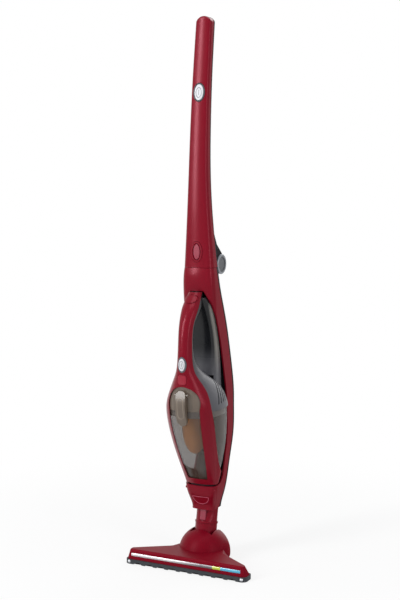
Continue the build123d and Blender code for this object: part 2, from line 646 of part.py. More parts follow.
def window(grow):
    # Front view of the arched window in the red cover.
    with BuildSketch() as face:
        with BuildLine():
            Spline((-32 - grow, 318), (-31.5 - grow, 285), (-28 - grow, 230), (-21 - grow, 170 - grow))
            Line((-21 - grow, 170 - grow), (21 + grow, 170 - grow))
            Spline((21 + grow, 170 - grow), (28 + grow, 230), (31.5 + grow, 285), (32 + grow, 318))
            ThreePointArc((32 + grow, 318), (0, 361 + grow), (-32 - grow, 318))
        make_face()
    return face.sketch


# Lens-shaped release button at the top, oval switch and rounded tab down the grip
HAND_SWITCH_Z, TAB_Z, LENS_Z = 403, 374.5, 523
with BuildPart() as hand_cuts:
    with BuildSketch(Plane.XZ.offset(40)):
        with Locations((0, LENS_Z)):
            Ellipse(13 + GAP, 7 + GAP)
    extrude(amount=60)
    with BuildSketch(Plane.XZ.offset(94.5)):
        with Locations((0, HAND_SWITCH_Z)):
            Ellipse(9, 15)
    extrude(amount=40)
    with BuildSketch(Plane.XZ.offset(90)):
        with Locations((0, HAND_SWITCH_Z)):
            Ellipse(6.5 + GAP, 12 + GAP)
    extrude(amount=40)
    with BuildSketch(Plane.XZ.offset(90)):
        with Locations((0, TAB_Z)):
            RectangleRounded(17 + 2 * GAP, 18 + 2 * GAP, 5)
    extrude(amount=40)

# Red cover: grip front, shoulders round the window and the two straps that hold the dust cup
with BuildPart() as hand_cover:
    add(hand_shape)
    add(red_zone.part, mode=Mode.INTERSECT)
    add(hand_in, mode=Mode.SUBTRACT)
    with BuildSketch(Plane.XZ):
        add(window(0))
    extrude(amount=140, mode=Mode.SUBTRACT)
    add(hand_cuts.part, mode=Mode.SUBTRACT)
    add(slab(100, 158.2), mode=Mode.SUBTRACT)
    add(slab(534.3, 600), mode=Mode.SUBTRACT)
keep(hand_cover, "hand_cover")

# Dark body: grip back, finger pocket, back plate, side panels with exhaust louvres
MOTOR_AT = -24       # front-back place of the suction motor
FAN_R, MOTOR_R, MOTOR_SHAFT = 25, 24, 2.5
CELL_X, CELL_Y, CELL_TOP = 28, 16, 427  # battery bay
with BuildPart() as grip_core:
    add(hand_seat)
    add(red_zone.part, mode=Mode.INTERSECT)
    add(slab(100, CUP_Z + 0.6), mode=Mode.SUBTRACT)
with BuildPart() as lid_room:
    with BuildSketch(Plane.XZ.offset(50)):
        add(window(4))
    extrude(amount=90)
    add(hand_core, mode=Mode.SUBTRACT)
LOUVRES, LOUVRE_PITCH, LOUVRE_GAP = 6, 9, 3
LOUVRE_LEAN = 26     # degrees the slots lean back from upright
with BuildPart() as louvres:
    for side in (-1, 1):
        with BuildSketch(Plane.YZ.offset(side * (FAN_R + 4))):
            for slot in range(LOUVRES):
                reach = 46 - 5 * slot
                with Locations((-38 + LOUVRE_PITCH * slot, 344 - 1.5 * slot)):
                    SlotOverall(reach, LOUVRE_GAP, rotation=90 - LOUVRE_LEAN)
        extrude(amount=side * 40)
with BuildPart() as hand_body:
    add(hand_shape)
    add(slab(100, CUP_Z + 0.6), mode=Mode.SUBTRACT)
    add(red_zone.part, mode=Mode.SUBTRACT)
    add(louvres.part, mode=Mode.SUBTRACT)
    for z, front, rear, half in BACK:
        with BuildSketch(Plane.XY.offset(z)):
            add(stick_section(front, rear, half, 0))
    loft()
    add(grip_core.part)
    with Locations((0, MOTOR_AT, 341)):
        Cylinder(FAN_R + 3, 60, mode=Mode.SUBTRACT)
    with Locations((0, 1, 394)):
        Box(CELL_X, CELL_Y, 66, mode=Mode.SUBTRACT)
    add(lid_room.part, mode=Mode.SUBTRACT)
    add(hand_cuts.part, mode=Mode.SUBTRACT)
keep(hand_body, "hand_body")

# Buttons of the hand unit
with BuildPart() as hand_release:
    with BuildSketch(Plane.XZ.offset(44)):
        with Locations((0, LENS_Z)):
            Ellipse(13, 7)
    extrude(amount=40)
    add(hand_lens, mode=Mode.INTERSECT)
keep(hand_release, "hand_release")

with BuildPart() as hand_switch_bezel:
    with BuildSketch(Plane.XZ.offset(94.6)):
        with Locations((0, HAND_SWITCH_Z)):
            Ellipse(9 - SEAT, 15 - SEAT)
            Ellipse(6.5 + GAP, 12 + GAP, mode=Mode.SUBTRACT)
    extrude(amount=40)
    add(hand_proud, mode=Mode.INTERSECT)
keep(hand_switch_bezel, "hand_switch_bezel")

with BuildPart() as hand_switch:
    with BuildSketch(Plane.XZ.offset(92)):
        with Locations((0, HAND_SWITCH_Z)):
            Ellipse(6.5, 12)
    extrude(amount=8)
    fillet(hand_switch.faces().sort_by(Axis.Y)[0].edges(), 1.2)
keep(hand_switch, "hand_switch")

with BuildPart() as dust_tab:
    with BuildSketch(Plane.XZ.offset(92)):
        with Locations((0, TAB_Z)):
            RectangleRounded(17, 18, 5 - GAP)
    extrude(amount=40)
    add(hand_proud, mode=Mode.INTERSECT)
keep(dust_tab, "dust_tab")

# Smoke lid over the motor inlet, and the latch that clips it to the dust cup
LATCH_HALF, LATCH_Y, LATCH_Z, LATCH_PIN = 10, -100, 346, 1.5
with BuildPart() as dust_lid:
    add(hand_seat)
    add(hand_deep, mode=Mode.SUBTRACT)
    with BuildSketch(Plane.XZ.offset(50)):
        add(window(3.6))
    extrude(amount=90, mode=Mode.INTERSECT)
    add(slab(100, CUP_Z + 0.6), mode=Mode.SUBTRACT)
    for side in (-1, 1):
        with BuildSketch(Plane.YZ.offset(side * (LATCH_HALF + GAP))):
            with Locations((LATCH_Y, LATCH_Z)):
                Circle(3)
                with Locations((3, 0)):
                    Rectangle(6, 6)
        extrude(amount=side * 3)
    with Locations(Location((0, LATCH_Y, LATCH_Z), (0, 90, 0))):
        Cylinder(LATCH_PIN, 40, mode=Mode.SUBTRACT)
keep(dust_lid, "dust_lid")

with BuildPart() as latch_tab:
    with BuildSketch(Plane.YZ):
        with BuildLine():
            Spline((-99, 352), (-97.5, 320), (-91, 287))
            Line((-91, 287), (-95.5, 286.5))
            Spline((-95.5, 286.5), (-105.5, 316), (-106, 340), (-101, 354))
            Line((-101, 354), (-99, 352))
        make_face()
    extrude(amount=LATCH_HALF, both=True)
    with BuildSketch(Plane.XZ.offset(60)):
        with Locations((0, 320.5)):
            SlotCenterToCenter(48, 2 * LATCH_HALF, rotation=90)
    extrude(amount=60, mode=Mode.INTERSECT)
    with Locations(Location((0, LATCH_Y, LATCH_Z), (0, 90, 0))):
        Cylinder(LATCH_PIN + RUN, 40, mode=Mode.SUBTRACT)
keep(latch_tab, "latch_tab")

with BuildPart() as latch_pin:
    with Locations(Location((0, LATCH_Y, LATCH_Z), (0, 90, 0))):
        Cylinder(LATCH_PIN, 2 * (LATCH_HALF + GAP + 3))
keep(latch_pin, "latch_pin")

# Clear dust cup between the straps, open at the top, with the inlet duct through its floor
DUCT_AT, DUCT_OUT = -4, 10
with BuildPart() as cup_inside:
    add(hand_deep)
    add(slab(100, 161), mode=Mode.SUBTRACT)
with BuildPart() as dust_cup:
    add(hand_seat)
    add(slab(CUP_Z, 600), mode=Mode.SUBTRACT)
    add(cup_inside.part, mode=Mode.SUBTRACT)
    with Locations((0, DUCT_AT, 160)):
        Cylinder(DUCT_OUT + SEAT, 10, mode=Mode.SUBTRACT)
keep(dust_cup, "dust_cup")

# Filter: a dark frame under the motor and an orange cone hanging into the cup
FILTER_AT, FILTER_R, FRAME_LOW = -42, 24, 300
with BuildPart() as filter_frame:
    add(hand_deep)
    add(slab(CUP_Z - 0.5, 600), mode=Mode.SUBTRACT)
    add(slab(100, FRAME_LOW), mode=Mode.SUBTRACT)
    with Locations((0, 0, 300)):
        scale(by=(0.985, 0.985, 1))
    with Locations((0, FILTER_AT, 306)):
        Cylinder(FILTER_R - 3, 20, mode=Mode.SUBTRACT)
keep(filter_frame, "filter_frame")

with BuildPart() as filter_cone:
    with BuildSketch(Plane.XZ.offset(-FILTER_AT)):
        with BuildLine():
            Spline((FILTER_R, FRAME_LOW - SEAT), (FILTER_R + 1, 275), (17, 238), (0, 222),
                   tangents=((0, -1), (-1, 0)))
            Polyline((0, 222), (0, 226), (0, FRAME_LOW - SEAT), (FILTER_R, FRAME_LOW - SEAT))
        make_face()
    revolve(axis=Axis((0, FILTER_AT, 0), (0, 0, 1)))
    with Locations((0, FILTER_AT, 285)):
        Cylinder(FILTER_R - 4, 32, mode=Mode.SUBTRACT)
keep(filter_cone, "filter_cone")

# Inlet: nose in the collar, hooked on the cradle pin, and a duct up into the cup with a flap
NOSE_LOW, DUCT_TOP = 113, 214
FLAP_Y, FLAP_Z, FLAP_PIN = DUCT_AT + DUCT_OUT + 2.4, DUCT_TOP + 1.4, 1.3
with BuildPart() as inlet_duct:
    with BuildSketch(Plane.XY.offset(NOSE_LOW)):
        add(round_section(-8, 10, 1, 15, 0))
    with BuildSketch(Plane.XY.offset(135)):
        add(round_section(-13, 15, -1, 22, 0))
    with BuildSketch(Plane.XY.offset(158)):
        add(round_section(-19, 14, -6, 27, 0))
    loft()
    with Locations((0, DUCT_AT, (158 + DUCT_TOP) / 2)):
        Cylinder(DUCT_OUT, DUCT_TOP - 158)
    for side in (-1, 1):
        with BuildSketch(Plane.YZ.offset(side * 9)):
            with Locations((CRADLE_Y, CRADLE_Z)):
                Circle(4)
                with Locations((6, 0)):
                    Rectangle(12, 8)
        extrude(amount=side * 6)
        with BuildSketch(Plane.YZ.offset(side * 5.4)):
            with Locations((FLAP_Y, FLAP_Z)):
                Circle(2.6)
            add(outline([(FLAP_Y - 2.6, FLAP_Z), (FLAP_Y + 2.6, FLAP_Z), (FLAP_Y, 207), (DUCT_AT + 4, 205),
                         (DUCT_AT + 4, DUCT_TOP), (FLAP_Y - 2.6, DUCT_TOP)]))
        extrude(amount=side * 2.6)
    with Locations(Location((0, FLAP_Y, FLAP_Z), (0, 90, 0))):
        Cylinder(FLAP_PIN + RUN, 20, mode=Mode.SUBTRACT)
    with Locations(Location((0, CRADLE_Y, CRADLE_Z), (0, 90, 0))):
        Cylinder(CRADLE_R + RUN, 80, mode=Mode.SUBTRACT)
    with Locations((0, DUCT_AT, 165)):
        Cylinder(DUCT_OUT - 2, 120, mode=Mode.SUBTRACT)
keep(inlet_duct, "inlet_duct")

with BuildPart() as inlet_flap:
    with Locations((0, DUCT_AT, FLAP_Z)):
        Cylinder(DUCT_OUT - 1, 1.6)
    with Locations((0, (DUCT_AT + FLAP_Y) / 2, FLAP_Z)):
        Box(10, FLAP_Y - DUCT_AT, 1.6)
    with Locations(Location((0, FLAP_Y, FLAP_Z), (0, 90, 0))):
        Cylinder(FLAP_PIN, 16)
keep(inlet_flap, "inlet_flap")

# Suction motor with its fan, and the battery behind the finger pocket
with BuildPart() as suction_motor:
    with Locations((0, MOTOR_AT, 349)):
        Cylinder(MOTOR_R, 38)
    fillet(suction_motor.edges().sort_by(Axis.Z)[-1], 6)
    with Locations((0, MOTOR_AT, 349)):
        with PolarLocations(MOTOR_R, 10):
            Box(4, 5, 24, mode=Mode.SUBTRACT)
    with Locations((0, MOTOR_AT, 324)):
        Cylinder(MOTOR_SHAFT, 18)
keep(suction_motor, "suction_motor")

with BuildPart() as motor_mount:
    with Locations((0, MOTOR_AT, 352)):
        Cylinder(FAN_R + 3 - SEAT, 10)
        Cylinder(MOTOR_R + SEAT, 10, mode=Mode.SUBTRACT)
keep(motor_mount, "motor_mount")

with BuildPart() as fan:
    with Locations((0, MOTOR_AT, 326.2)):
        Cylinder(FAN_R, 1.6)
    with Locations((0, MOTOR_AT, 322)):
        Cylinder(7, 8)
    with Locations((0, MOTOR_AT, 322)):
        with PolarLocations(15.5, 9):
            Box(18, 1.4, 8, rotation=(0, 0, 24))
    with Locations((0, MOTOR_AT, 322)):
        Cylinder(MOTOR_SHAFT + RUN, 30, mode=Mode.SUBTRACT)
keep(fan, "fan")

with BuildPart() as battery_pack:
    with Locations((0, 1, CELL_TOP - SEAT - 22)):
        Box(CELL_X - 2 * SEAT, CELL_Y - 2 * SEAT, 44)
    fillet(battery_pack.edges().filter_by(Axis.Z), 2)
keep(battery_pack, "battery_pack")
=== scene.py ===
import math

import bmesh
import bpy
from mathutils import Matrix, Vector


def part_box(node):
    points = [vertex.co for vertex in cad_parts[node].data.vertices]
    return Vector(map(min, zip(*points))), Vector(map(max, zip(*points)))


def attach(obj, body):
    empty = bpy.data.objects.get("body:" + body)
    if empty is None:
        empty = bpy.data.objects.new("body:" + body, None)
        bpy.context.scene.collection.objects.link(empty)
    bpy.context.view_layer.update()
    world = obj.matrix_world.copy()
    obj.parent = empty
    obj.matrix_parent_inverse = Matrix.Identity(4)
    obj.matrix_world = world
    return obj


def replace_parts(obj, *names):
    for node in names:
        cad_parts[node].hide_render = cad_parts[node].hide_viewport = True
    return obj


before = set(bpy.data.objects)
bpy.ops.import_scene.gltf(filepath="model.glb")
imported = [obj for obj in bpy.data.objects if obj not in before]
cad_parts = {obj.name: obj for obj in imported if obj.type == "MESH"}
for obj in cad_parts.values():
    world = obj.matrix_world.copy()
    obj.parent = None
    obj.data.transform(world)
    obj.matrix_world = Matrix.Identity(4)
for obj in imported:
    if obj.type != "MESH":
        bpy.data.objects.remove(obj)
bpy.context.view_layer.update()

# Cover of the floor head, one satin shell moulded in red ABS with fine metal flake.
# It is clipped and screwed to the sole from below, and the neck stands in its dome.


def linear(hex_code):
    # Colours are written as sRGB hex; shaders take them as linear light.
    channels = [int(hex_code[i:i + 2], 16) / 255 for i in (0, 2, 4)]
    return [c / 12.92 if c <= 0.04045 else ((c + 0.055) / 1.055) ** 2.4 for c in channels] + [1.0]


def put(tree, kind, settings=None, **inputs):
    # Adds one node, or takes one that is there. An input is a plain value, an output socket or a node,
    # whose first output it then takes; _6 means the input with that number, where names repeat.
    node = tree.nodes.new(kind) if isinstance(kind, str) else kind
    for name, value in (settings or {}).items():
        setattr(node, name, value)
    for name, value in inputs.items():
        socket = node.inputs[int(name[1:])] if name[0] == "_" else node.inputs[name.replace("_", " ")]
        if isinstance(value, bpy.types.Node):
            value = value.outputs[0]
        if isinstance(value, bpy.types.NodeSocket):
            tree.links.new(value, socket)
        else:
            socket.default_value = value
    return node


def new_material(name):
    # Empty material with its tree, its shader and the place of each point, in metres.
    material = bpy.data.materials.new(name)
    material.use_nodes = True
    tree = material.node_tree
    place = put(tree, "ShaderNodeTexCoord").outputs["Object"]
    return material, tree, tree.nodes["Principled BSDF"], place


def dress(material, *nodes):
    # Gives CAD pieces their finish; their shape stays as it is.
    for name in nodes:
        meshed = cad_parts[name].data
        meshed.materials.clear()
        meshed.materials.append(material)


# Moulded ABS with metal flake: the eye gets a deep wine red with soft highlights and a very faint
# sparkle. Flakes are 0.1 mm, drawn at 0.9 mm so that they show; finger marks are 60 mm across.
# Side walls scrape along the mould as they leave it, which dulls them.
RED_FLAKE, RED_SMUDGE = 0.9e-3, 60e-3
FLANK_FROM, FLANK_FULL, FLANK_DULL = 0.8, 0.97, 0.5
# Settings of the nodes that mix two colours and that ease from one value to another.
COLOURS, SMOOTH = {"data_type": "RGBA"}, {"interpolation_type": "SMOOTHSTEP"}


def flaked_red(name, clean, rubbed, shine):
    # Clean and rubbed are the roughness where the surface is fresh and where hands have dulled it.
    material, tree, shader, place = new_material(name)
    flake = put(tree, "ShaderNodeTexVoronoi", Vector=place, Scale=1 / RED_FLAKE)
    smudge = put(tree, "ShaderNodeTexNoise", Vector=place, Scale=1 / RED_SMUDGE, Detail=3.0)
    tone = put(tree, "ShaderNodeMix", COLOURS, _0=flake.outputs["Distance"], _6=linear("7F0A1E"),
               _7=linear("680416"))
    facing = put(tree, "ShaderNodeSeparateXYZ", Vector=put(tree, "ShaderNodeTexCoord").outputs["Normal"])
    sideways = put(tree, "ShaderNodeMath", {"operation": "ABSOLUTE"}, _0=facing.outputs["X"])
    flank = put(tree, "ShaderNodeMapRange", SMOOTH, Value=sideways, From_Min=FLANK_FROM,
                From_Max=FLANK_FULL, To_Min=0.0, To_Max=FLANK_DULL)
    gloss = put(tree, "ShaderNodeMapRange", Value=smudge, To_Min=clean, To_Max=rubbed)
    dulled = put(tree, "ShaderNodeMath", {"operation": "ADD"}, _0=gloss, _1=flank)
    put(tree, shader, Base_Color=tone.outputs[2], Roughness=dulled, Specular_IOR_Level=shine,
        Specular_Tint=linear("FFA8B6"))
    return material


head_red = flaked_red("abs_red_metal_flake_satin", clean=0.36, rubbed=0.46, shine=0.12)
dress(head_red, "head_cover")

# Sole of the floor head: black ABS with a fine spark-eroded grain, clipped up into the cover.
# It carries the brush, its motor and the wheels.
WEAR_PATCH, WEAR_SWING = 45e-3, 0.08
GRAIN_SHOWN = 0.35


def moulded(name, dark, light, grain, roughness, depth, shine=0.2):
    # Grained plastic: dark and light are the ends of its colour, grain and depth the size of its
    # texture, drawn coarser than the real 0.1 to 0.2 mm so that it shows.
    material, tree, shader, place = new_material(name)
    grit = put(tree, "ShaderNodeTexNoise", Vector=place, Scale=1 / grain, Detail=2.0)
    wear = put(tree, "ShaderNodeTexNoise", Vector=place, Scale=1 / WEAR_PATCH, Detail=4.0)
    bump = put(tree, "ShaderNodeBump", Strength=GRAIN_SHOWN, Distance=depth, Height=grit)
    tone = put(tree, "ShaderNodeMix", COLOURS, _0=wear, _6=linear(dark), _7=linear(light))
    gloss = put(tree, "ShaderNodeMapRange", Value=wear, To_Min=roughness - WEAR_SWING,
                To_Max=roughness + WEAR_SWING)
    put(tree, shader, Base_Color=tone.outputs[2], Roughness=gloss, Normal=bump, Specular_IOR_Level=shine)
    return material


# The mould's grain is copied into the plastic: a dull black that takes no clear reflection.
black_abs = moulded("abs_black_grained", "131315", "1E1E20", grain=1.5e-3, roughness=0.6, depth=0.15e-3,
                    shine=0.05)
dress(black_abs, "head_base")

# Soft bumper along the front edge: grey thermoplastic rubber moulded over the sole's lip.
# Its lower edge is notched so that crumbs pass under it to the brush. A dull dark grey, no gloss.
grey_rubber = moulded("rubber_grey_matt", "303336", "3F4246", grain=1.2e-3, roughness=0.62, depth=0.1e-3)
dress(grey_rubber, "front_bumper")

# Trim along the front of the cover: a silver hot-foiled strip with a painted sheen that is bright at
# the left and fades darker towards the middle, ending in a yellow-green and a cyan piece,
# all glued into one shallow channel.
strip_low, strip_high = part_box("trim_strip")
SHEEN_STREAK = 7e-3   # width of the slanting bars of painted sheen across the foil
FOIL_SLANT = math.radians(35)
STREAK_LONG, STREAK_SHADE = 5, 0.3
FADE_FROM = 0.35     # share of the strip's length where its painted sheen starts to fade darker
silver_foil, tree, shader, place = new_material("foil_silver_painted_sheen")
across = put(tree, "ShaderNodeSeparateXYZ", Vector=place)
sheen_fade = put(tree, "ShaderNodeMapRange", SMOOTH, Value=across.outputs["X"], From_Max=strip_high.x,
           From_Min=strip_low.x + FADE_FROM * (strip_high.x - strip_low.x))
slant = put(tree, "ShaderNodeMapping", Vector=place, Rotation=(0, FOIL_SLANT, 0),
            Scale=(1, 1, 1 / STREAK_LONG))
sheen_streak = put(tree, "ShaderNodeTexNoise", Vector=slant, Scale=1 / SHEEN_STREAK, Detail=2.0)
# Painted sheen: the fade and the slanting bars make the foil's colour lighter and darker.
bright = put(tree, "ShaderNodeMath", {"operation": "MULTIPLY_ADD", "use_clamp": True}, _0=sheen_streak,
             _1=STREAK_SHADE, _2=sheen_fade)
tone = put(tree, "ShaderNodeMix", COLOURS, _0=bright, _6=linear("D6D2D4"), _7=linear("6E6A6E"))
put(tree, shader, Base_Color=tone.outputs[2], Metallic=0.3, Roughness=0.3)
dress(silver_foil, "trim_strip")
INSERT_CLOUD = 30e-3


def glossy(name, dark, light):
    # Smooth lacquered ABS: a clean bright colour with slight clouding.
    material, tree, shader, place = new_material(name)
    cloud = put(tree, "ShaderNodeTexNoise", Vector=place, Scale=1 / INSERT_CLOUD, Detail=2.0)
    tone = put(tree, "ShaderNodeMix", COLOURS, _0=cloud, _6=linear(dark), _7=linear(light))
    gloss = put(tree, "ShaderNodeMapRange", Value=cloud, To_Min=0.16, To_Max=0.26)
    put(tree, shader, Base_Color=tone.outputs[2], Roughness=gloss, Coat_Weight=0.4)
    return material


dress(glossy("abs_yellow_green", "A9B62B", "C3CF45"), "trim_lime")
dress(glossy("abs_cyan", "2E93B8", "57B4D2"), "trim_cyan")

# Rotating brush: a grey ABS core between two bearing plates, with twisted rows of nylon tufts,
# driven by a dead black toothed rubber belt from a small motor behind it.
grey_abs = moulded("abs_dark_grey_satin", "3D3D42", "4C4C51", grain=2.2e-3, roughness=0.4, depth=0.05e-3)
dress(grey_abs, "brush_roll", "bearing_left", "bearing_right")
belt_rubber = moulded("rubber_belt_black", "111112", "1B1B1C", grain=1e-3, roughness=0.7, depth=0.1e-3)
dress(belt_rubber, "drive_belt")
CLOUD_SMOOTHER, CLOUD_ROUGHER = 0.1, 0.12


def steel_of(name, colour, roughness, grain):
    # Turned or plated steel: a grey mirror, clouded by polishing marks of the given width, which
    # are drawn coarser than the real 0.1 mm so that they show.
    material, tree, shader, place = new_material(name)
    marks = put(tree, "ShaderNodeTexNoise", Vector=place, Scale=1 / grain, Detail=5.0)
    gloss = put(tree, "ShaderNodeMapRange", Value=marks, To_Min=roughness - CLOUD_SMOOTHER,
                To_Max=roughness + CLOUD_ROUGHER)
    put(tree, shader, Base_Color=linear(colour), Metallic=1.0, Roughness=gloss)
    return material


motor_can = steel_of("steel_motor_can", "9EA1A6", roughness=0.3, grain=5e-3)
turned_steel = steel_of("steel_turned", "B4B6BA", roughness=0.26, grain=1.5e-3)
dress(motor_can, "head_motor")
dress(turned_steel, "motor_pulley", "tilt_pin_left", "tilt_pin_right")

# Tufts stand in four rows that wind half a turn round the core, each a fan of five hairs that lean
# and differ a little. A hair is 0.15 mm thick, drawn at three times that so that it shows.
TUFT_ROWS, TUFTS, HAIRS = 4, 84, 5
TUFT_TURN = math.radians(180)
HOLE_WIDE, FAN_WIDE = 1.5e-3, 0.7e-3
HAIR_HALF, HAIR_HALF_TURN, HAIR_TAPER = 0.22e-3, 0.03, 0.6
FOOT_STRAY, TIP_STRAY = 0.07, 0.05      # radians
HAIR_LONG, HAIR_SHORTER = 0.985, 0.03   # shares of the room that the row has
row_low, row_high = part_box("brush_strips")
core_low, core_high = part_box("brush_roll")
brush_y, brush_z = (row_low.y + row_high.y) / 2, (row_low.z + row_high.z) / 2
tuft_r = (row_high.z - row_low.z) / 2
core_r = (core_high.z - core_low.z) / 2


def add_piece(name, build, material, body):
    # Builds a smooth mesh and lets it ride on a body.
    mesh = bpy.data.meshes.new(name)
    shape = bmesh.new()
    build(shape)
    bmesh.ops.recalc_face_normals(shape, faces=shape.faces)
    for face in shape.faces:
        face.smooth = True
    shape.to_mesh(mesh)
    shape.free()
    mesh.materials.append(material)
    piece = bpy.data.objects.new(name, mesh)
    bpy.context.scene.collection.objects.link(piece)
    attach(piece, body)
    return piece


def tufts(shape):
    def at(x, angle, radius):
        return Vector((x, brush_y + radius * math.cos(angle), brush_z + radius * math.sin(angle)))

    length = row_high.x - row_low.x
    for row in range(TUFT_ROWS):
        for tuft in range(TUFTS):
            share = (tuft + 0.5) / TUFTS
            middle = row_low.x + length * share
            angle = 2 * math.pi * row / TUFT_ROWS + TUFT_TURN * share
            for hair in range(HAIRS):
                off = (hair - (HAIRS - 1) / 2) / HAIRS
                x, turn = middle + HOLE_WIDE * off, angle + FOOT_STRAY * math.sin(5 * hair + tuft)
                tip_turn = turn + TIP_STRAY * math.sin(3 * hair + 2 * tuft)
                tip = at(x + FAN_WIDE * off, tip_turn, tuft_r * (HAIR_LONG - HAIR_SHORTER * (hair % 2)))
                foot = [at(x + HAIR_HALF, turn, core_r), at(x, turn + HAIR_HALF_TURN, core_r),
                        at(x - HAIR_HALF, turn, core_r), at(x, turn - HAIR_HALF_TURN, core_r)]
                ends = [shape.verts.new(tip + (p - at(x, turn, core_r)) * HAIR_TAPER) for p in foot]
                foot = [shape.verts.new(p) for p in foot]
                for k in range(4):
                    shape.faces.new((foot[k - 1], foot[k], ends[k], ends[k - 1]))
                shape.faces.new(ends)


# Drawn nylon: charcoal hairs with a soft shine that differ from tuft to tuft.
TUFT_SHADE = 4e-3
nylon, tree, shader, place = new_material("nylon_bristle_charcoal")
hair_shade = put(tree, "ShaderNodeTexNoise", Vector=place, Scale=1 / TUFT_SHADE)
tone = put(tree, "ShaderNodeMix", COLOURS, _0=hair_shade, _6=linear("1D1D20"), _7=linear("3A3A3E"))
put(tree, shader, Base_Color=tone.outputs[2], Roughness=0.42)
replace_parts(add_piece("bristle_tufts", tufts, nylon, "brush"), "brush_strips")

# A thin red plate with rounded corners lies on the back of the right wing and closes the end of
# the belt room, which comes out through the sloping wall there.
HATCH_X, HATCH_Z = (71.5e-3, 86.5e-3), (11.5e-3, 23.5e-3)
HATCH_ROUND, HATCH_TALL, HATCH_EDGE = 2.5e-3, 0.7e-3, 0.3e-3
CORNER_STEPS = 6
BEHIND_HEAD = 0.2    # a place well behind the head, from which the plate's rim is looked for


def surface_at(node, start, way):
    # Point and outward normal where a straight line first meets a node.
    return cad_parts[node].ray_cast(Vector(start), Vector(way))[1:3]


def belt_hatch(shape):
    rim = []
    for corner in range(4):
        right, high = corner in (0, 3), corner in (0, 1)
        x = HATCH_X[right] + HATCH_ROUND * (-1 if right else 1)
        z = HATCH_Z[high] + HATCH_ROUND * (-1 if high else 1)
        for step in range(CORNER_STEPS + 1):
            a = math.pi / 2 * (corner + step / CORNER_STEPS)
            start = (x + HATCH_ROUND * math.cos(a), BEHIND_HEAD, z + HATCH_ROUND * math.sin(a))
            rim.append(surface_at("head_cover", start, (0, -1, 0)))
    middle = sum((point for point, normal in rim), Vector()) / len(rim)
    rings = []
    for lift, inset in ((-HATCH_EDGE, 0), (HATCH_TALL - HATCH_EDGE, 0), (HATCH_TALL, HATCH_EDGE)):
        rings.append([shape.verts.new(point + lift * normal + inset * (middle - point).normalized())
                      for point, normal in rim])
    for low, high in zip(rings, rings[1:]):
        for k in range(len(rim)):
            shape.faces.new((low[k - 1], low[k], high[k], high[k - 1]))
    shape.faces.new(rings[0])
    shape.faces.new(rings[-1])


add_piece("belt_hatch", belt_hatch, head_red, "head")

# Wheels under the back of the head, of hard grey acetal with a waxy sheen, and two small rollers
# of plated steel at the front corners. Both kinds are pressed with their axles into the sole.
acetal = moulded("acetal_grey", "54565A", "696B6F", grain=1.5e-3, roughness=0.34, depth=0.04e-3)
dress(acetal, "wheel_left", "wheel_right")
plated = steel_of("plated_bright", "D2D4D8", roughness=0.2, grain=2e-3)
dress(plated, "roller_left", "roller_right")

# Tilting knuckle in the dome and the neck above it, of the same red ABS as the cover but polished
# in the mould. The neck's push button frees the stick from the floor head.
red_abs = flaked_red("abs_red_metal_flake", clean=0.2, rubbed=0.27, shine=0.28)
dress(red_abs, "tilt_knuckle", "neck_tube")

# The button's face is the same plastic with a painted sheen that makes it paler and pinker.
red_button_sheen = moulded("abs_red_painted_sheen", "841C30", "983348", grain=3e-3, roughness=0.26, depth=0.03e-3,
                   shine=0.35)
dress(red_button_sheen, "neck_button")

# Lower stick: a red ABS front shell with the cradle for the hand unit and a grained black back,
# screwed together from behind. The collar carries a half-round button, and a pin with red ends
# crosses it under the hand unit.
dress(red_abs, "lower_body", "collar_button", "cradle_pin")
dress(black_abs, "back_cover")
dress(turned_steel, "fold_pin")

# Zinc-plated cross-head screws hold the back on the front shell, two high and two low: small
# grey domes with a dark cross.
SCREW_R, SCREW_SUNK = 2.6e-3, 0.2e-3
SCREW_X, SCREW_Z = (-0.018, 0.018), (0.19, 0.5)
SCREW_RINGS = (0.12, 0.3, 0.5, 0.62, 0.7, 0.9, 1.0)   # these and the next as shares of the radius
SCREW_DOME, SCREW_DEEP = 0.42, 0.4
CROSS_REACH, CROSS_HALF = 0.65, 0.13
SCREW_POINTS = 24
BEHIND_STICK = 0.3   # a place well behind the stick, from which its back is looked for
zinc_steel = steel_of("steel_zinc_plated", "B9BBBF", roughness=0.34, grain=3e-3)


def screw_head(shape, centre, out, radius):
    # Domed head with a cross recess, on a polar net; out points away from the plastic.
    out = out.normalized()
    side = out.orthogonal().normalized()
    up = out.cross(side)
    rings = []
    for r in SCREW_RINGS:
        ring = []
        for k in range(SCREW_POINTS):
            a = 2 * math.pi * k / SCREW_POINTS
            x, y = r * math.cos(a), r * math.sin(a)
            in_cross = r < CROSS_REACH and min(abs(x), abs(y)) < CROSS_HALF
            height = radius * (SCREW_DOME * (1 - r * r) - (SCREW_DEEP if in_cross else 0))
            ring.append(shape.verts.new(centre + radius * (x * side + y * up) + height * out))
        rings.append(ring)
    shape.faces.new(rings[0])
    for low, high in zip(rings, rings[1:]):
        for k in range(SCREW_POINTS):
            shape.faces.new((low[k], low[k - 1], high[k - 1], high[k]))
    foot = [shape.verts.new(v.co - radius * SCREW_DEEP * out) for v in rings[-1]]
    for k in range(SCREW_POINTS):
        shape.faces.new((rings[-1][k], rings[-1][k - 1], foot[k - 1], foot[k]))


def back_screws(shape):
    for x in SCREW_X:
        for z in SCREW_Z:
            point, normal = surface_at("back_cover", (x, BEHIND_STICK, z), (0, -1, 0))
            screw_head(shape, point - SCREW_SUNK * normal, normal, SCREW_R)


add_piece("back_screws", back_screws, zinc_steel, "stick")

# The collar's button has a raised rim that the thumb feels, half a circle and its chord,
# rubbed smoother than the rest and painted paler as a painted highlight along its edge.
RIM_WIDE, RIM_TALL, RIM_IN = 1.5e-3, 0.35e-3, 1.8e-3
BOW_STEPS, CHORD_HALF = 24, 6
BEAD = ((-1, -0.4), (-0.5, 1), (0.5, 1), (1, -0.4))   # half widths aside, heights above the face
CLEAR_AHEAD = 0.1    # how far in front of a piece its face is looked for


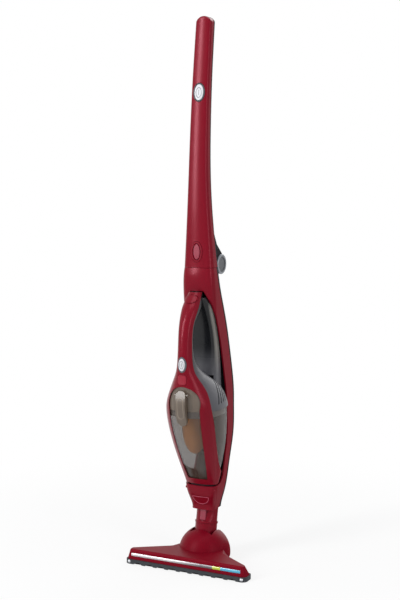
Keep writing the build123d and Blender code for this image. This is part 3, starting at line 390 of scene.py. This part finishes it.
def raised_line(shape, node, line, closed, wide, tall):
    # Low flat bead that follows a line of x and z values on the front face of a node.
    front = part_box(node)[0].y - CLEAR_AHEAD
    count = len(line)
    rows = []
    for k, (x, z) in enumerate(line):
        ahead = line[(k + 1) % count] if closed else line[min(k + 1, count - 1)]
        behind = line[k - 1] if closed else line[max(k - 1, 0)]
        along = Vector((ahead[0] - behind[0], ahead[1] - behind[1])).normalized()
        row = []
        for share, lift in BEAD:
            at = (x + share * wide / 2 * along.y, front, z - share * wide / 2 * along.x)
            point, normal = surface_at(node, at, (0, 1, 0))
            row.append(shape.verts.new(point + lift * tall * normal))
        rows.append(row)
    for k in range(count if closed else count - 1):
        here, there = rows[k], rows[(k + 1) % count]
        for c in range(len(BEAD)):
            shape.faces.new((here[c - 1], here[c], there[c], there[c - 1]))
    if not closed:
        shape.faces.new(rows[0])
        shape.faces.new(rows[-1])


def collar_rim(shape):
    low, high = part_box("collar_button")
    reach, top = (high.x - low.x) / 2 - RIM_IN, high.z - RIM_IN
    drop = top - low.z - RIM_IN
    turn = [math.pi * k / BOW_STEPS for k in range(BOW_STEPS + 1)]
    bow = [(reach * math.cos(a), top - drop * math.sin(a)) for a in turn]
    chord = [(-reach * (1 - k / CHORD_HALF), top) for k in range(1, 2 * CHORD_HALF)]
    raised_line(shape, "collar_button", bow + chord, closed=True, wide=RIM_WIDE, tall=RIM_TALL)


# Painted highlight: the rim's paler red stands for light caught along its edge.
rim_highlight_red = moulded("abs_red_rim_painted_highlight", "A2394C", "B9586E", grain=3e-3, roughness=0.3, depth=0.03e-3)
add_piece("collar_button_rim", collar_rim, rim_highlight_red, "collar_press")

# Handle: two ABS half shells, red in front and grained black behind, folding about a round hinge
# with two grey caps. The oval slide switch and the release button sit in satin grey and red rings.
dress(red_abs, "handle_front", "handle_bezel")
# The release button's face carries the same painted sheen as the neck's button.
dress(red_button_sheen, "handle_button")
dress(black_abs, "handle_rear")
bezel_grey = moulded("abs_mid_grey_satin", "4A4D52", "5C6066", grain=2e-3, roughness=0.36, depth=0.04e-3)
dress(bezel_grey, "switch_bezel", "hand_switch_bezel")

# The mould of the hinge caps is polished round its edge, which leaves a shinier ring, painted lighter
# grey as a painted highlight.
cap_low, cap_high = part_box("hinge_cap_right")
CAP_RING, RING_SOFT = 0.8, 0.02   # where the ring starts and how soft, as shares of the cap's radius
cap_grey, tree, shader, place = new_material("abs_mid_grey_painted_ring_highlight")
cap_off = put(tree, "ShaderNodeVectorMath", {"operation": "SUBTRACT"}, _0=place,
              _1=(cap_low + cap_high) / 2)
cap_flat = put(tree, "ShaderNodeVectorMath", {"operation": "MULTIPLY"}, _0=cap_off, _1=(0, 1, 1))
cap_reach = put(tree, "ShaderNodeVectorMath", {"operation": "LENGTH"}, _0=cap_flat)
cap_r = (cap_high.z - cap_low.z) / 2
ring_highlight = put(tree, "ShaderNodeMapRange", SMOOTH, Value=cap_reach.outputs["Value"],
             From_Min=(CAP_RING - RING_SOFT) * cap_r, From_Max=(CAP_RING + RING_SOFT) * cap_r)
# Painted highlight: the ring is painted lighter than the rest of the cap.
tone = put(tree, "ShaderNodeMix", COLOURS, _0=ring_highlight, _6=linear("3E4146"), _7=linear("7C8087"))
gloss = put(tree, "ShaderNodeMapRange", Value=ring_highlight, To_Min=0.42, To_Max=0.25)
put(tree, shader, Base_Color=tone.outputs[2], Roughness=gloss)
dress(cap_grey, "hinge_cap_left", "hinge_cap_right")

# The slides are ABS with pearl pigment: a cool white with soft grey clouds.
PEARL_CLOUD = 12e-3
pearl, tree, shader, place = new_material("abs_pearl_white")
pearl_cloud = put(tree, "ShaderNodeTexNoise", Vector=place, Scale=1 / PEARL_CLOUD, Detail=3.0)
tone = put(tree, "ShaderNodeMix", COLOURS, _0=pearl_cloud, _6=linear("C2C3C8"), _7=linear("DCDDE1"))
put(tree, shader, Base_Color=tone.outputs[2], Roughness=0.4, Specular_IOR_Level=0.25)
dress(pearl, "power_switch", "hand_switch")

# Each switch carries a fine oval line with a short bar in it, printed in raised grey lacquer.
MARK_SHARE, MARK_WIDE, MARK_TALL = 0.6, 0.9e-3, 0.25e-3
BAR_SHARE, BAR_HALF, OVAL_HALF = 0.3, 4, 20


def switch_mark(node):
    low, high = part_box(node)
    middle, half = (low + high) / 2, (high - low) / 2

    def build(shape):
        oval = [(middle.x + MARK_SHARE * half.x * math.cos(math.pi * k / OVAL_HALF),
                 middle.z + MARK_SHARE * half.z * math.sin(math.pi * k / OVAL_HALF))
                for k in range(2 * OVAL_HALF)]
        bar = [(middle.x, middle.z + BAR_SHARE * half.z * (k / BAR_HALF - 1))
               for k in range(2 * BAR_HALF + 1)]
        raised_line(shape, node, oval, closed=True, wide=MARK_WIDE, tall=MARK_TALL)
        raised_line(shape, node, bar, closed=False, wide=MARK_WIDE, tall=MARK_TALL)
    return build


lacquer = moulded("lacquer_grey", "4E4F53", "626368", grain=2e-3, roughness=0.4, depth=0.02e-3)
add_piece("power_switch_mark", switch_mark("power_switch"), lacquer, "power")
add_piece("hand_switch_mark", switch_mark("hand_switch"), lacquer, "hand_power")

# Hand unit: the red cover runs from the grip down both sides of the window to the collar.
# Behind it is the dark body with the finger pocket and the exhaust louvres. Both are moulded ABS
# and clip together along the cover's edge.
dress(red_abs, "hand_cover", "hand_release")

# The pocket is polished and painted almost black as painted shade for its depth, inside a flange painted
# paler as a painted reflection; the panel with the louvres below it is satin grey. The flange is what
# lies this far out from the middle, above the panel.
POCKET_LOW, POCKET_HIGH = 0.365, 0.432
FLANGE_IN, FLANGE_OUT = 23.5e-3, 27e-3
# Painted shade: what lies deep in a slot is painted towards black, the more the nearer walls close it in.
SLOT_DEEP, SLOT_BLACK, SLOT_UNSHADED = 5e-3, 0.45, 0.85
BODY_CLOUD = 18e-3
body_abs, tree, shader, place = new_material("abs_grey_satin_painted_shade")
spot = put(tree, "ShaderNodeSeparateXYZ", Vector=place)
pocket_shade_and_polish = put(tree, "ShaderNodeMapRange", SMOOTH, Value=spot.outputs["Z"], From_Min=POCKET_LOW,
             From_Max=POCKET_HIGH)
aside = put(tree, "ShaderNodeMath", {"operation": "ABSOLUTE"}, _0=spot.outputs["X"])
flange = put(tree, "ShaderNodeMapRange", SMOOTH, Value=aside, From_Min=FLANGE_IN, From_Max=FLANGE_OUT)
cloud = put(tree, "ShaderNodeTexNoise", Vector=place, Scale=1 / BODY_CLOUD, Detail=3.0)
panel = put(tree, "ShaderNodeMix", COLOURS, _0=cloud, _6=linear("4A4A4F"), _7=linear("57575C"))
# Painted shade inside the pocket and a painted reflection on its flange.
pocket = put(tree, "ShaderNodeMix", COLOURS, _0=flange, _6=linear("151619"), _7=linear("77746F"))
tone = put(tree, "ShaderNodeMix", COLOURS, _0=pocket_shade_and_polish, _6=panel.outputs[2], _7=pocket.outputs[2])
sunk = put(tree, "ShaderNodeAmbientOcclusion", {"samples": 8, "only_local": True}, Distance=SLOT_DEEP)
# clean is the share of a point left outside the painted shade.
clean = put(tree, "ShaderNodeMapRange", SMOOTH, Value=sunk.outputs["AO"], From_Min=SLOT_BLACK,
            From_Max=SLOT_UNSHADED)
slot_painted_shade = put(tree, "ShaderNodeMix", COLOURS, _0=clean, _6=linear("08080A"), _7=tone.outputs[2])
gloss = put(tree, "ShaderNodeMapRange", Value=pocket_shade_and_polish, To_Min=0.4, To_Max=0.2)
put(tree, shader, Base_Color=slot_painted_shade.outputs[2], Roughness=gloss, Specular_IOR_Level=0.3)
dress(body_abs, "hand_body")

# The tab is the same red ABS left matt from an etched mould, a flatter and lighter red. Its grain
# of 0.2 mm is drawn at 2 mm so that it shows.
TAB_GRAIN = 2e-3
red_matt, tree, shader, place = new_material("abs_red_matt")
tab_grain = put(tree, "ShaderNodeTexNoise", Vector=place, Scale=1 / TAB_GRAIN, Detail=2.0)
tone = put(tree, "ShaderNodeMix", COLOURS, _0=tab_grain, _6=linear("860E22"), _7=linear("941830"))
put(tree, shader, Base_Color=tone.outputs[2], Roughness=0.4, Specular_IOR_Level=0.3)
dress(red_matt, "dust_tab")

# Window parts: a smoke-brown lid with its latch, over a clear cup that shows the filter.
# All are injection-moulded polycarbonate, glossy and slightly scratched by dust.
SCRATCH_APART, SCRATCH_DULL, HAZE_PATCH = 2e-3, 0.06, 25e-3
PC_IOR = 1.58


def polycarbonate(name, dark, light, cover, roughness):
    # Scratches are hair-fine, drawn wide enough to show; cover is the share of light held back.
    material, tree, shader, place = new_material(name)
    scratch = put(tree, "ShaderNodeTexNoise", Vector=place, Scale=1 / SCRATCH_APART, Detail=6.0,
                  Distortion=1.0)
    haze = put(tree, "ShaderNodeTexNoise", Vector=place, Scale=1 / HAZE_PATCH, Detail=2.0)
    gloss = put(tree, "ShaderNodeMapRange", Value=scratch, To_Min=roughness,
                To_Max=roughness + SCRATCH_DULL)
    tone = put(tree, "ShaderNodeMix", COLOURS, _0=haze, _6=linear(dark), _7=linear(light))
    put(tree, shader, Base_Color=tone.outputs[2], Roughness=gloss, IOR=PC_IOR, Alpha=cover)
    return material


smoke = polycarbonate("polycarbonate_smoke", "5D5146", "6F6255", cover=0.88, roughness=0.26)
dress(smoke, "dust_lid", "latch_tab")

# The latch has a raised pill-shaped rim round its finger place, drawn paler than the rest.
PILL_WIDE, PILL_TOP, PILL_FOOT = 0.6, 0.28, 0.3   # shares of the latch's width and height
END_STEPS, SIDE_STEPS = 12, 8


def latch_rim(shape):
    low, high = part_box("latch_tab")
    middle, half = (low.x + high.x) / 2, PILL_WIDE * (high.x - low.x) / 2
    top, foot = high.z - PILL_TOP * (high.z - low.z), low.z + PILL_FOOT * (high.z - low.z)
    ends = [math.pi * k / END_STEPS for k in range(END_STEPS + 1)]
    turn = [(half * math.cos(a), half * math.sin(a)) for a in ends]
    side = [foot + (top - foot) * k / SIDE_STEPS for k in range(1, SIDE_STEPS)]
    pill = [(middle + x, top + z) for x, z in turn] + [(middle - half, z) for z in reversed(side)]
    pill += [(middle - x, foot - z) for x, z in turn] + [(middle + half, z) for z in side]
    raised_line(shape, "latch_tab", pill, closed=True, wide=RIM_WIDE, tall=RIM_TALL)


pale_smoke = polycarbonate("polycarbonate_smoke_pale", "85786A", "978A7B", cover=0.95, roughness=0.2)
add_piece("latch_rim", latch_rim, pale_smoke, "latch")
clear = polycarbonate("polycarbonate_clear", "4C413A", "5C5048", cover=0.4, roughness=0.06)
dress(clear, "dust_cup")

# The latch turns on a pin of blackened steel, dull and nearly black.
black_steel = steel_of("steel_black_oxide", "161617", roughness=0.62, grain=1.5e-3)
dress(black_steel, "latch_pin")

# Filter: a pleated bag of orange non-woven cloth, egg-shaped, welded to a frame of pale grey ABS.
# The frame plugs into the cup under the lid and lifts out with it.
PLEATS, LEVELS = 36, 20
PLEAT_DEEP, BAG_CLEAR, TIP_R = 1.6e-3, 0.2e-3, 0.2e-3
EGG_WIDEST = 0.32    # how far down from the frame the bag is widest
NECK_IN = 0.04       # share by which it narrows towards the frame
cone_low, cone_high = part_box("filter_cone")


def pleated_cone(shape):
    middle = (cone_low + cone_high) / 2
    reach = (cone_high.x - cone_low.x) / 2 - BAG_CLEAR
    height = cone_high.z - cone_low.z
    rings = []
    for level in range(LEVELS + 1):
        share = math.sin(math.pi * level / (2 * LEVELS))
        girth = reach * (1 - (max(share - EGG_WIDEST, 0) / (1 - EGG_WIDEST)) ** 2) ** 0.5
        girth -= NECK_IN * reach * (max(EGG_WIDEST - share, 0) / EGG_WIDEST) ** 2
        ring = []
        for k in range(2 * PLEATS):
            radius = max(girth - (PLEAT_DEEP * (1 - share) if k % 2 else 0), TIP_R)
            a = math.pi * k / PLEATS
            ring.append(shape.verts.new((middle.x + radius * math.cos(a), middle.y + radius * math.sin(a),
                                         cone_high.z - height * share)))
        rings.append(ring)
    shape.faces.new(rings[0])
    shape.faces.new(rings[-1])
    for low, high in zip(rings, rings[1:]):
        for k in range(2 * PLEATS):
            shape.faces.new((low[k - 1], low[k], high[k], high[k - 1]))


# Needled polyester felt: a warm dull orange, fuzzy at its edges. Fibres are 0.02 mm, drawn at 1.4 mm.
FIBRE, FUZZ_TALL, FUZZ_SHOWN = 1.4e-3, 0.3e-3, 0.5
cloth, tree, shader, place = new_material("polyester_felt_orange")
fibre = put(tree, "ShaderNodeTexNoise", Vector=place, Scale=1 / FIBRE, Detail=4.0)
fuzz = put(tree, "ShaderNodeBump", Strength=FUZZ_SHOWN, Distance=FUZZ_TALL, Height=fibre)
tone = put(tree, "ShaderNodeMix", COLOURS, _0=fibre, _6=linear("EE7A14"), _7=linear("FFBA5C"))
put(tree, shader, Base_Color=tone.outputs[2], Normal=fuzz, Roughness=0.85, Sheen_Weight=0.3)
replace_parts(add_piece("filter_pleats", pleated_cone, cloth, "hand_unit"), "filter_cone")
pale_abs = moulded("abs_pale_grey", "9B9894", "B4B1AD", grain=1.5e-3, roughness=0.45, depth=0.04e-3)
dress(pale_abs, "filter_frame")

# Inside the hand unit: the grey ABS inlet duct with its rubber flap, the motor can in a rubber ring
# with the fan on its shaft, and the battery in a black case. The dark body holds them all.
dress(grey_abs, "inlet_duct", "fan")
dress(grey_rubber, "inlet_flap", "motor_mount")
dress(motor_can, "suction_motor")
dress(black_abs, "battery_pack")

# Studio: pale floor, white surroundings for the camera, a tall strip light in front to the left
# and three broad soft boxes, to the right, above and behind.


def sees_white(tree):
    # 1 for rays that show the surroundings: to the camera, through clear plastic or in a reflection.
    rays = put(tree, "ShaderNodeLightPath")
    seen = put(tree, "ShaderNodeMath", {"operation": "MAXIMUM"}, _0=rays.outputs["Is Camera Ray"],
               _1=rays.outputs["Is Transmission Ray"])
    return put(tree, "ShaderNodeMath", {"operation": "MAXIMUM"}, _0=seen,
               _1=rays.outputs["Is Glossy Ray"])


def studio_white(name, share, near, far):
    # White to the camera, mirrors and clear plastic. Up to near from the middle a share of its own
    # shading keeps the shadow, and beyond far there is none.
    material = bpy.data.materials.new(name)
    material.use_nodes = True
    tree = material.node_tree
    tree.nodes.clear()
    place = put(tree, "ShaderNodeTexCoord").outputs["Object"]
    away = put(tree, "ShaderNodeVectorMath", {"operation": "LENGTH"}, _0=place)
    white = put(tree, "ShaderNodeMapRange", SMOOTH, Value=away.outputs["Value"], From_Min=near,
                From_Max=far, To_Min=1 - share, To_Max=1.0)
    shown = put(tree, "ShaderNodeMath", {"operation": "MULTIPLY"}, _0=sees_white(tree), _1=white)
    plain = put(tree, "ShaderNodeBsdfDiffuse", Color=linear("F4F4F4"))
    glow = put(tree, "ShaderNodeEmission", Color=linear("FFFFFF"), Strength=1.0)
    mixed = put(tree, "ShaderNodeMixShader", _0=shown, _1=plain, _2=glow)
    put(tree, "ShaderNodeOutputMaterial", Surface=mixed)
    return material


FLOOR_HALF = 6
SHADOW_SHARE, SHADOW_NEAR, SHADOW_FAR = 0.2, 0.25, 0.9
floor_mesh = bpy.data.meshes.new("studio_floor")
floor_corners = [(x * FLOOR_HALF, y * FLOOR_HALF, 0) for x, y in ((-1, -1), (1, -1), (1, 1), (-1, 1))]
floor_mesh.from_pydata(floor_corners, [], [(0, 1, 2, 3)])
floor_mesh.materials.append(studio_white("studio_floor_white", SHADOW_SHARE, SHADOW_NEAR, SHADOW_FAR))
floor = bpy.data.objects.new("studio_floor", floor_mesh)
bpy.context.scene.collection.objects.link(floor)

world = bpy.data.worlds.new("studio")
bpy.context.scene.world = world
world.use_nodes = True
tree = world.node_tree
tree.nodes.clear()
dim = put(tree, "ShaderNodeBackground", Color=linear("E6E8EA"), Strength=0.45)
white = put(tree, "ShaderNodeBackground", Color=linear("FFFFFF"), Strength=1.0)
both = put(tree, "ShaderNodeMixShader", _0=sees_white(tree), _1=dim, _2=white)
put(tree, "ShaderNodeOutputWorld", Surface=both)


def soft_box(name, at, aim, size, power):
    # Flat lamp of a width and height in metres, turned towards a point; power in watts.
    lamp = bpy.data.lights.new(name, "AREA")
    lamp.shape = "RECTANGLE"
    lamp.size, lamp.size_y = size
    lamp.energy = power
    box = bpy.data.objects.new(name, lamp)
    box.location = at
    box.rotation_euler = (Vector(aim) - Vector(at)).to_track_quat("-Z", "Y").to_euler()
    bpy.context.scene.collection.objects.link(box)


soft_box("key_box", at=(-1.3, -2.2, 1.5), aim=(0, 0, 0.5), size=(0.4, 2.0), power=46)
soft_box("fill_box", at=(2.2, -1.0, 1.1), aim=(0, 0, 0.5), size=(0.6, 1.6), power=14)
soft_box("top_box", at=(0.2, -0.6, 2.8), aim=(0, 0, 0.4), size=(1.6, 1.2), power=18)
soft_box("back_box", at=(0.4, 2.4, 1.6), aim=(0, 0, 0.6), size=(1.6, 2.0), power=20)

# Camera: the photograph's view from the front right and slightly above, with a short telephoto
# lens on a 36 mm sensor, long side upright.
CAMERA_AT = (0.97816, -2.02628, 0.775)
CAMERA_YAW, CAMERA_PITCH = 26.0, 6.6
CAMERA_SENSOR, CAMERA_LENS = 36, 70.56
view_camera = bpy.data.cameras.new("photo_camera")
view_camera.sensor_width = CAMERA_SENSOR
view_camera.lens = CAMERA_LENS
camera = bpy.data.objects.new("photo_camera", view_camera)
camera.location = CAMERA_AT
camera.rotation_euler = (math.radians(90 - CAMERA_PITCH), 0, math.radians(CAMERA_YAW))
bpy.context.scene.collection.objects.link(camera)
bpy.context.scene.camera = camera
bpy.context.scene.view_settings.view_transform = "Standard"
